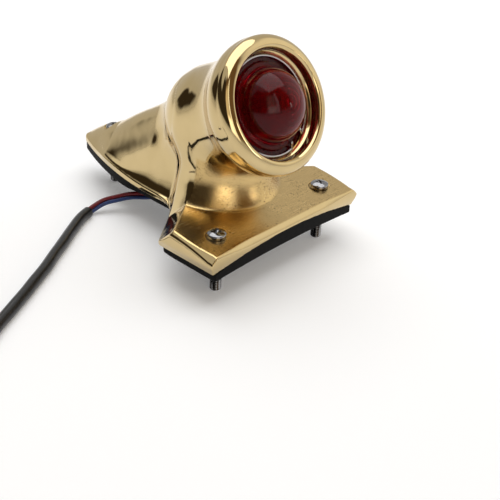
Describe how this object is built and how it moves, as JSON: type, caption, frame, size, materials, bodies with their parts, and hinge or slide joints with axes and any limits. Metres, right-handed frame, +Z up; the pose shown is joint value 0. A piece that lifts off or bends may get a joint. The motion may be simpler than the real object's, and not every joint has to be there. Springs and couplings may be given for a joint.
{
  "type": "motorcycle tail light",
  "caption": "Polished brass motorcycle tail and brake light with a domed ruby lens, a crossbar foot on a rubber pad, a bayonet bulb and a sleeved wiring lead.",
  "frame": {"origin": "on the plane of the three screw ends, under the middle of the object's length and width, lead left out", "axes": "+X along the crossbar to the right when facing the lens, +Y from the lens to the tongue's tip, +Z up from the mounting face"},
  "size_m": [0.2424, 0.1582, 0.117],
  "materials": {
    "brass": "mirror polished, with a brushed satin face on the crossbar",
    "rubber": "matt black moulded rubber",
    "ruby_glass": "smooth pressed ruby glass",
    "spring_wire": "bright drawn wire",
    "zinc_screw": "zinc plated",
    "reflector": "bright plated",
    "socket_brass": "bright turned and pressed",
    "phenolic": "moulded insulating resin",
    "clear_glass": "clear",
    "solder": "dull tin",
    "filament": "bare tungsten",
    "black_wire": "extruded insulation",
    "red_wire": "extruded insulation",
    "blue_wire": "extruded insulation",
    "sleeve": "soft extruded sleeve"
  },
  "bodies": {
    "lamp": {"housing": "brass", "base_pad": "rubber", "lens": "ruby_glass", "lens_seal": "rubber", "retaining_ring": "spring_wire", "left_screw": "zinc_screw", "right_screw": "zinc_screw", "rear_screw": "zinc_screw", "reflector_plate": "reflector", "plate_screws": "zinc_screw", "socket_shell": "socket_brass", "socket_insulator": "phenolic", "contact_terminals": "socket_brass", "contact_springs": "spring_wire", "earth_terminal": "socket_brass", "lead_black": "black_wire", "lead_red": "red_wire", "lead_blue": "blue_wire", "lead_sleeve": "sleeve", "lead_ends": "solder"},
    "bulb": {"bulb_glass": "clear_glass", "bulb_cap": "socket_brass", "bulb_pins": "socket_brass", "bulb_base_insulator": "phenolic", "bulb_contacts": "solder", "filament_stem": "clear_glass", "filament_supports": "spring_wire", "filament_tail": "filament", "filament_brake": "filament", "tail_contact": "socket_brass", "brake_contact": "socket_brass"}
  },
  "joints": [
    {"name": "bulb_push", "type": "slide", "parent": "lamp", "child": "bulb", "axis": [0, 0.9018, -0.4321], "range_m": [0, 0.002], "stiffness_N_per_m": 1000, "springref_m": -0.003, "deforming": ["contact_springs"]}
  ]
}
